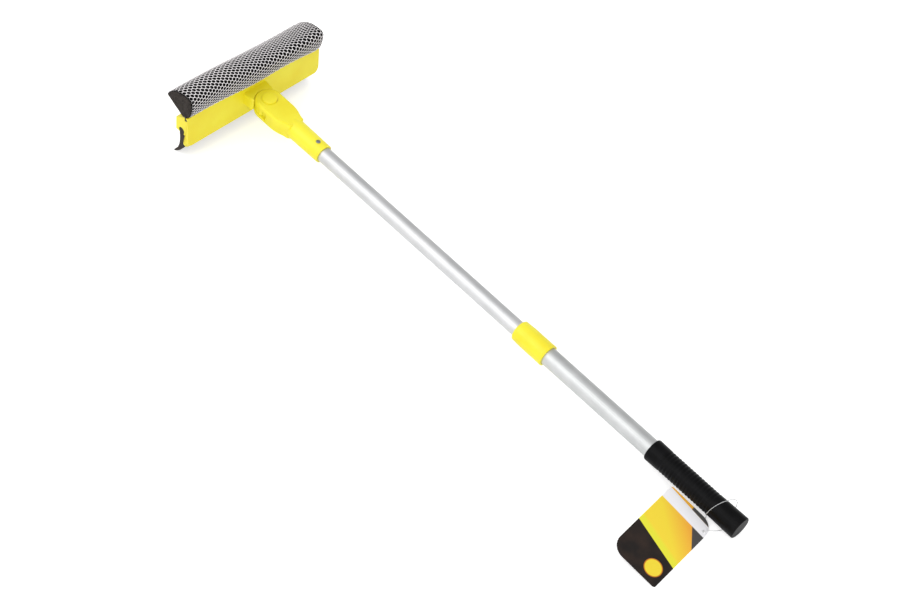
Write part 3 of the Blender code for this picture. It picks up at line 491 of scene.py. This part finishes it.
def makeCardPrint():
    material, tree, shader, place = startMaterial("printedCard", cardFrame())
    axes = addNode(tree, "ShaderNodeSeparateXYZ", {"Vector": place})
    across, up = axes.outputs["X"], axes.outputs["Y"]
    spot = addNode(tree, "ShaderNodeCombineXYZ", {"X": across, "Y": up})
    fromDisc = addNode(tree, "ShaderNodeVectorMath",
                       {"operation": "DISTANCE", 0: spot.outputs["Vector"], 1: (*card["discPlace"], 0)})
    blur = card["discBlur"]
    discMasks = []
    for radius in (card["rimRadius"], card["discRadius"]):
        mask = addNode(tree, "ShaderNodeMapRange", {
            "Value": fromDisc.outputs["Value"], "From Min": radius + blur, "From Max": radius - blur,
        })
        discMasks.append(mask.outputs["Result"])
    glow = addNode(tree, "ShaderNodeMath", {
        "operation": "MULTIPLY_ADD", 0: across, 1: card["warmSlant"], 2: up,
    })
    start, end = card["warmReach"]
    turning = addNode(tree, "ShaderNodeMapRange", {
        "Value": glow.outputs["Value"], "From Min": start, "From Max": end,
    })
    warm = addNode(tree, "ShaderNodeValToRGB", {
        "Fac": turning.outputs["Result"], "stops": card["warm"],
    })
    lean = addNode(tree, "ShaderNodeMath", {
        "operation": "MULTIPLY_ADD", 0: up, 1: card["wedgeSlant"], 2: across,
    })
    blur = card["edgeBlur"]
    wedge = addNode(tree, "ShaderNodeMapRange", {
        "Value": lean.outputs["Value"],
        "From Min": card["wedgeFrom"] - blur, "From Max": card["wedgeFrom"] + blur,
    })
    strip = aboveBorder(tree, across, up, card["stripBorder"])
    rightOf = addNode(tree, "ShaderNodeMapRange", {
        "Value": across,
        "From Min": card["stripEndFrom"] - blur, "From Max": card["stripEndFrom"] + blur,
    })
    stripEnd = addNode(tree, "ShaderNodeMath", {
        "operation": "MULTIPLY", 0: rightOf.outputs["Result"], 1: strip,
    })
    smoke = addNode(tree, "ShaderNodeTexNoise", {
        "Vector": place, "Scale": 1 / card["smokeSize"], "Detail": 3,
    })
    dark = addNode(tree, "ShaderNodeValToRGB", {"Fac": smoke.outputs["Fac"], "stops": card["dark"]})
    colour = dark.outputs["Color"]
    layers = [
        (card["discRim"], discMasks[0]),
        (card["disc"], discMasks[1]),
        (card["lime"], aboveBorder(tree, across, up, card["limeBorder"])),
        (warm.outputs["Color"], aboveBorder(tree, across, up, card["warmBorder"])),
        (card["wedge"], wedge.outputs["Result"]),
        (card["white"], aboveBorder(tree, across, up, card["whiteBorder"])),
        (card["strip"], strip),
        (card["stripEnd"], stripEnd.outputs["Value"]),
    ]
    for tint, mask in layers:
        layer = addNode(tree, "ShaderNodeMix", {"data_type": "RGBA", 0: mask, 6: colour, 7: tint})
        colour = layer.outputs[2]
    tree.links.new(colour, shader.inputs["Base Color"])
    fibre = addNode(tree, "ShaderNodeTexNoise", {
        "Vector": place, "Scale": 1 / card["fibreSize"], "Detail": 4,
    })
    low, high = card["roughness"]
    rough = addNode(tree, "ShaderNodeMapRange", {
        "Value": fibre.outputs["Fac"], "To Min": low, "To Max": high,
    })
    relief = addNode(tree, "ShaderNodeBump", {
        "Height": fibre.outputs["Fac"], "Strength": card["bump"], "Distance": card["relief"] * mm,
    })
    tree.links.new(rough.outputs["Result"], shader.inputs["Roughness"])
    tree.links.new(relief.outputs["Normal"], shader.inputs["Normal"])
    shader.inputs["Specular IOR Level"].default_value = card["gloss"]
    return material


finishes = {
    "yellow": makeYellowMoulding(),
    "innerTube": makeSatinAluminium("satinAnodisedAluminium", innerAluminium),
    "outerTube": makeSatinAluminium("greyAnodisedAluminium", outerAluminium),
    "grip": makeGripRubber(),
    "blade": makeBladeRubber(),
    "foam": makeCellFoam(),
    "net": makeNetYarn(),
    "zinc": makePlainFinish("zincPlatedSteel"),
    "nylon": makePlainFinish("naturalNylon"),
    "black": makePlainFinish("blackPolypropylene"),
    "line": makeClearLine(),
    "card": makeCardPrint(),
}
wearers = {
    "yellow": ["head_body", "handle_socket", "release_button", "pivot_cap", "collar"],
    "innerTube": ["inner_tube"],
    "outerTube": ["outer_tube"],
    "grip": ["grip"],
    "blade": ["blade_rubber"],
    "foam": ["sponge_core"],
    "net": ["sponge_net"],
    "zinc": ["button_spring", "pivot_bolt", "pivot_washer", "pivot_nut", "socket_screw", "spindle_screw"],
    "nylon": ["lock_spindle", "lock_cam", "spindle_cap", "tube_plug"],
    "black": ["sponge_carrier"],
    "line": ["tag_loop"],
    "card": ["hang_tag"],
}
for finish, nodeNames in wearers.items():
    for nodeName in nodeNames:
        mesh = frame["nodes"][nodeName].data
        mesh.materials.clear()
        mesh.materials.append(finishes[finish])
print("finishes given to", sum(len(nodeNames) for nodeNames in wearers.values()), "nodes")


# The sponge: a foam body, rolled back and down towards its far end, in a net sleeve.
# The section is in mm, in the tool's x and z: foot at the front, over the top, to the heel.
sponge = {
    "section": [(-35.3, 14.9), (-49.6, 21.4), (-65.3, 28.4), (-57.6, 39.6), (-46.4, 45.6),
                (-36.2, 47.6), (-29.0, 48.0), (-24.6, 45.2), (-23.7, 35.2), (-24.6, 26.0),
                (-25.7, 21.2), (-27.54, 19.79)],
    "middle": (-41.0, 29.5),       # a point inside the foam
    "halfLength": 102.5,
    # along the head: share of the half length, how far the section swells, how far its top
    # rolls back and down, and how far its lower back hangs over the plate's edge, in mm
    "rings": [(-1.0, -1.0, 0.0, 0.0), (-0.94, 0.3, 0.0, 0.0), (-0.6, 0.2, 0.4, 0.4),
              (-0.25, 0.2, 1.9, 3.6), (0.05, 0.2, 4.2, 4.6), (0.36, 0.1, 6.2, 1.4),
              (0.66, 0.1, 7.2, 2.6), (0.94, 0.1, 6.8, 6.4), (1.0, -2.4, 5.8, 5.4)],
    "fullSwell": 25,               # mm from the middle; nearer points swell less
    "rollWay": (0.7, -1.0),        # x and z
    "rollCurve": 0.7,              # how soon the roll begins above the foot
    "hangWay": (0.28, -1.0),
    "hangShares": {8: 0.4, 9: 0.75, 10: 1.0},      # by the section's points
    "creases": {0: 0.7, 2: 0.9},
    "endCrease": 0.9,
    "smoothing": 3,
}


def sectionAt(swell, roll, hang):
    # the section's points for one ring: foot and heel stay put, the rest swells, rolls, hangs
    middle = Vector(sponge["middle"])
    points = [Vector(point) for point in sponge["section"]]
    low = points[0].y
    high = max(point.y for point in points)
    for i in range(1, len(points) - 1):
        outward = points[i] - middle
        up = (points[i].y - low) / (high - low)
        points[i] += outward.normalized() * swell * min(outward.length / sponge["fullSwell"], 1)
        points[i] += Vector(sponge["rollWay"]) * roll * up ** sponge["rollCurve"]
        points[i] += Vector(sponge["hangWay"]) * hang * sponge["hangShares"].get(i, 0)
    return points


def makeFoam():
    mesh = bpy.data.meshes.new("sponge_foam")
    bm = bmesh.new()
    crease = bm.edges.layers.float.new("crease_edge")
    rings = []
    for share, swell, roll, hang in sponge["rings"]:
        y = share * sponge["halfLength"]
        section = sectionAt(swell, roll, hang)
        places = [toolToWorld @ (Vector((spot.x, y, spot.y)) * mm) for spot in section]
        rings.append([bm.verts.new(place) for place in places])
    for near, far in zip(rings, rings[1:]):
        for i in range(len(near)):
            j = (i + 1) % len(near)
            bm.faces.new((near[i], near[j], far[j], far[i]))
            bm.edges.get((near[i], far[i]))[crease] = sponge["creases"].get(i, 0)
    for end in (rings[0], rings[-1]):
        bm.faces.new(end)
        for i in range(len(end)):
            bm.edges.get((end[i - 1], end[i]))[crease] = sponge["endCrease"]
    bmesh.ops.recalc_face_normals(bm, faces=bm.faces)
    bm.to_mesh(mesh)
    bm.free()
    foam = bpy.data.objects.new("sponge_foam", mesh)
    bpy.context.scene.collection.objects.link(foam)
    soft = foam.modifiers.new("soft", "SUBSURF")
    soft.levels = soft.render_levels = sponge["smoothing"]
    mesh.shade_smooth()
    mesh.materials.append(finishes["foam"])
    return foam


# The net: rounded strands on the foam, round holes in staggered columns
net = {
    "columnPitch": 3.79,           # mm along the head, from one column of holes to the next
    "holePitch": 4.88,             # mm round the sponge, from hole to hole in a column
    "holeShare": 0.9,              # the hole's size against its cell
    "holeForm": 1.6,               # 2 is an ellipse, 1 a diamond
    "sides": 12,                   # points round a hole, as many as round its cell
    "strandHeight": 0.5,           # mm
    "shoulder": 0.85,              # the strand's height beside its crest, as a share
    "shoulderPlace": 0.65,         # and its place between crest and hole
    "endMargin": 1.6,              # mm of bare foam at each end
    "lift": 0.05,                  # mm, net off the foam
    "castFrom": 80,                # mm from the foam's middle, well outside it
    "girthSteps": 400,
}


def ringOfHole():
    # points on the hole's rim, as shares of the cell's half width and half height
    form = net["holeForm"]
    points = []
    for k in range(net["sides"]):
        a = math.cos(math.tau * k / net["sides"])
        b = math.sin(math.tau * k / net["sides"])
        reach = (abs(a) ** form + abs(b) ** form) ** (1 / form) / net["holeShare"]
        points.append((a / reach, b / reach))
    return points


def ringOfCell():
    # the cell's six corners and the middles between them, twelve in all, in the same shares
    corners = [(1, 0), (0.5, 1), (-0.5, 1), (-1, 0), (-0.5, -1), (0.5, -1)]
    points = []
    for here, there in zip(corners, corners[1:] + corners[:1]):
        points.append(here)
        points.append(((here[0] + there[0]) / 2, (here[1] + there[1]) / 2))
    return points


def makeNet(foam):
    surface = BVHTree.FromObject(foam, bpy.context.evaluated_depsgraph_get())
    middle = Vector(sponge["middle"])
    foot = Vector(sponge["section"][0]) - middle
    heel = Vector(sponge["section"][-1]) - middle
    startAngle = math.atan2(foot.y, foot.x) % math.tau
    sweep = (startAngle - math.atan2(heel.y, heel.x)) % math.tau

    def onFoam(along, share):
        # the foam's surface in a direction from its middle, from the foot over to the heel
        angle = startAngle - sweep * share
        start = toolToWorld @ (Vector((middle.x, along, middle.y)) * mm)
        way = turnToTool @ Vector((math.cos(angle), 0, math.sin(angle)))
        return surface.ray_cast(start + way * net["castFrom"] * mm, -way)[:2]

    # how far each step goes round the foam at the middle of the head
    steps = net["girthSteps"]
    spots = [onFoam(0, i / steps)[0] for i in range(steps + 1)]
    walk = [0.0]
    for here, there in zip(spots, spots[1:]):
        walk.append(walk[-1] + (there - here).length / mm)
    girth = walk[-1]

    def shareFor(distance):
        i = min(max(bisect.bisect_right(walk, distance) - 1, 0), steps - 1)
        return (i + min(max((distance - walk[i]) / (walk[i + 1] - walk[i]), 0), 1)) / steps

    usable = sponge["halfLength"] - net["endMargin"]
    rows = round(girth / net["holePitch"])
    columns = round(2 * usable / net["columnPitch"]) - 1
    columnPitch = 2 * usable / (columns + 0.5)
    halfWidth = columnPitch * 2 / 3
    halfHeight = girth / rows / 2
    cell = ringOfCell()
    hole = ringOfHole()
    inwards = net["shoulderPlace"]
    outwards = 1 - inwards
    beside = [(outwards * c[0] + inwards * h[0], outwards * c[1] + inwards * h[1])
              for c, h in zip(cell, hole)]
    bm = bmesh.new()
    strand = bm.verts.layers.float.new("strandHeight")
    made = {}

    def vertexAt(along, around, height):
        key = (round(along, 3), round(around, 3), height)
        if key not in made:
            place, normal = onFoam(min(max(along, -usable), usable), shareFor(around))
            made[key] = bm.verts.new(place + normal * (height * net["strandHeight"] + net["lift"]) * mm)
            made[key][strand] = height
        return made[key]

    for column in range(columns):
        along = -usable + columnPitch * (column + 0.75)
        for row in range(rows + 1):
            around = halfHeight * (2 * row + column % 2)
            if around > girth + 0.01:
                continue
            rings = []
            for shares, height in ((cell, 1.0), (beside, net["shoulder"]), (hole, 0.0)):
                spots = [(along + a * halfWidth, around + b * halfHeight) for a, b in shares]
                rings.append([vertexAt(x, y, height) for x, y in spots])
            for outer, inner in zip(rings, rings[1:]):
                for k in range(net["sides"]):
                    n = (k + 1) % net["sides"]
                    corners = list(dict.fromkeys((outer[k], outer[n], inner[n], inner[k])))
                    if len(corners) > 2 and not bm.faces.get(corners):
                        bm.faces.new(corners)
    loose = [vertex for vertex in bm.verts if not vertex.link_faces]
    bmesh.ops.delete(bm, geom=loose, context="VERTS")
    thin = [face for face in bm.faces if face.calc_area() < 1e-12]
    bmesh.ops.delete(bm, geom=thin, context="FACES")
    bmesh.ops.recalc_face_normals(bm, faces=bm.faces)
    mesh = bpy.data.meshes.new("sponge_net_cover")
    bm.to_mesh(mesh)
    bm.free()
    mesh.shade_smooth()
    mesh.materials.append(finishes["net"])
    cover = bpy.data.objects.new("sponge_net_cover", mesh)
    bpy.context.scene.collection.objects.link(cover)
    print("net:", columns, "columns of", rows, "holes, girth", round(girth, 1), "mm")
    return cover, 2 * usable * mm, girth * mm


foamPiece = makeFoam()
bpy.context.view_layer.update()
netPiece, netWidth, netGirth = makeNet(foamPiece)
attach(foamPiece, "head")
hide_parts("sponge_core")
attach(netPiece, "head")
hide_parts("sponge_net")
print("sponge made")


# The studio: a white floor, soft light from all round, and two large lamps
studio = {
    "floorSize": 12,         # m
    "floorDrop": 0.3,        # mm under the tool, so that no faces meet
    "floor": "F4F4F4",
    "seenGlow": 0.5,         # the floor's own glow for the camera, so that it looks white
    "mirroredGlow": 0.15,    # and in what mirrors it
    "sky": 0.82,
    "darkSide": (0.1, 0.93, 0.35),       # the room's darker side, as mirrored in the tubes
    "darkSideGlow": 0.6,
    "darkSideEdge": 0.9,
    "lamps": {
        "keyLamp": {"place": (-0.9, -1.3, 1.7), "size": 2.0, "power": 15},
        "fillLamp": {"place": (1.3, -1.0, 1.2), "size": 1.4, "power": 6},
    },
}


def makeFloor():
    mesh = bpy.data.meshes.new("floor")
    half = studio["floorSize"] / 2
    corners = [(-half, -half, 0), (half, -half, 0), (half, half, 0), (-half, half, 0)]
    mesh.from_pydata(corners, [], [(0, 1, 2, 3)])
    floor = bpy.data.objects.new("floor", mesh)
    floor.location.z = -studio["floorDrop"] * mm
    bpy.context.scene.collection.objects.link(floor)
    material = bpy.data.materials.new("studioFloor")
    material.use_nodes = True
    tree = material.node_tree
    tree.nodes.clear()
    paper = addNode(tree, "ShaderNodeBsdfDiffuse", {"Color": studio["floor"]})
    rays = addNode(tree, "ShaderNodeLightPath")
    mirrored = addNode(tree, "ShaderNodeMath", {
        "operation": "MAXIMUM", 0: rays.outputs["Is Glossy Ray"], 1: rays.outputs["Is Transmission Ray"],
    })
    weak = addNode(tree, "ShaderNodeMath",
                   {"operation": "MULTIPLY", 0: mirrored.outputs["Value"], 1: studio["mirroredGlow"]})
    glow = addNode(tree, "ShaderNodeMath", {
        "operation": "MULTIPLY_ADD",
        0: rays.outputs["Is Camera Ray"], 1: studio["seenGlow"], 2: weak.outputs["Value"],
    })
    light = addNode(tree, "ShaderNodeEmission", {
        "Color": (1, 1, 1, 1), "Strength": glow.outputs["Value"],
    })
    both = addNode(tree, "ShaderNodeAddShader", {
        0: paper.outputs["BSDF"], 1: light.outputs["Emission"],
    })
    addNode(tree, "ShaderNodeOutputMaterial", {"Surface": both.outputs["Shader"]})
    mesh.materials.append(material)


def makeSky():
    world = bpy.data.worlds.new("studio")
    bpy.context.scene.world = world
    world.use_nodes = True
    tree = world.node_tree
    tree.nodes.clear()
    rays = addNode(tree, "ShaderNodeLightPath")
    where = addNode(tree, "ShaderNodeTexCoord")
    toDark = addNode(tree, "ShaderNodeVectorMath",
                     {"operation": "DOT_PRODUCT", 0: where.outputs["Generated"], 1: studio["darkSide"]})
    shaded = addNode(tree, "ShaderNodeMapRange", {
        "interpolation_type": "SMOOTHSTEP", "Value": toDark.outputs["Value"],
        "From Min": 0.0, "From Max": studio["darkSideEdge"],
        "To Min": 1.0, "To Max": studio["darkSideGlow"],
    })
    soft = addNode(tree, "ShaderNodeBackground", {"Color": (1, 1, 1, 1), "Strength": studio["sky"]})
    mirrored = addNode(tree, "ShaderNodeBackground", {
        "Color": (1, 1, 1, 1), "Strength": shaded.outputs["Result"],
    })
    white = addNode(tree, "ShaderNodeBackground", {"Color": (1, 1, 1, 1), "Strength": 1.0})
    sky = soft.outputs["Background"]
    lightFor = {"Is Glossy Ray": mirrored, "Is Transmission Ray": white, "Is Camera Ray": white}
    for ray, light in lightFor.items():
        mixed = addNode(tree, "ShaderNodeMixShader",
                        {0: rays.outputs[ray], 1: sky, 2: light.outputs["Background"]})
        sky = mixed.outputs["Shader"]
    addNode(tree, "ShaderNodeOutputWorld", {"Surface": sky})


def makeLamps():
    for name, values in studio["lamps"].items():
        data = bpy.data.lights.new(name, "AREA")
        data.shape = "SQUARE"
        data.size = values["size"]
        data.energy = values["power"]
        lamp = bpy.data.objects.new(name, data)
        lamp.location = values["place"]
        lamp.rotation_euler = (-Vector(values["place"])).to_track_quat("-Z", "Y").to_euler()
        bpy.context.scene.collection.objects.link(lamp)


makeFloor()
makeSky()
makeLamps()
bpy.context.scene.view_settings.view_transform = "Standard"
print("studio made")

bpy.context.view_layer.update()
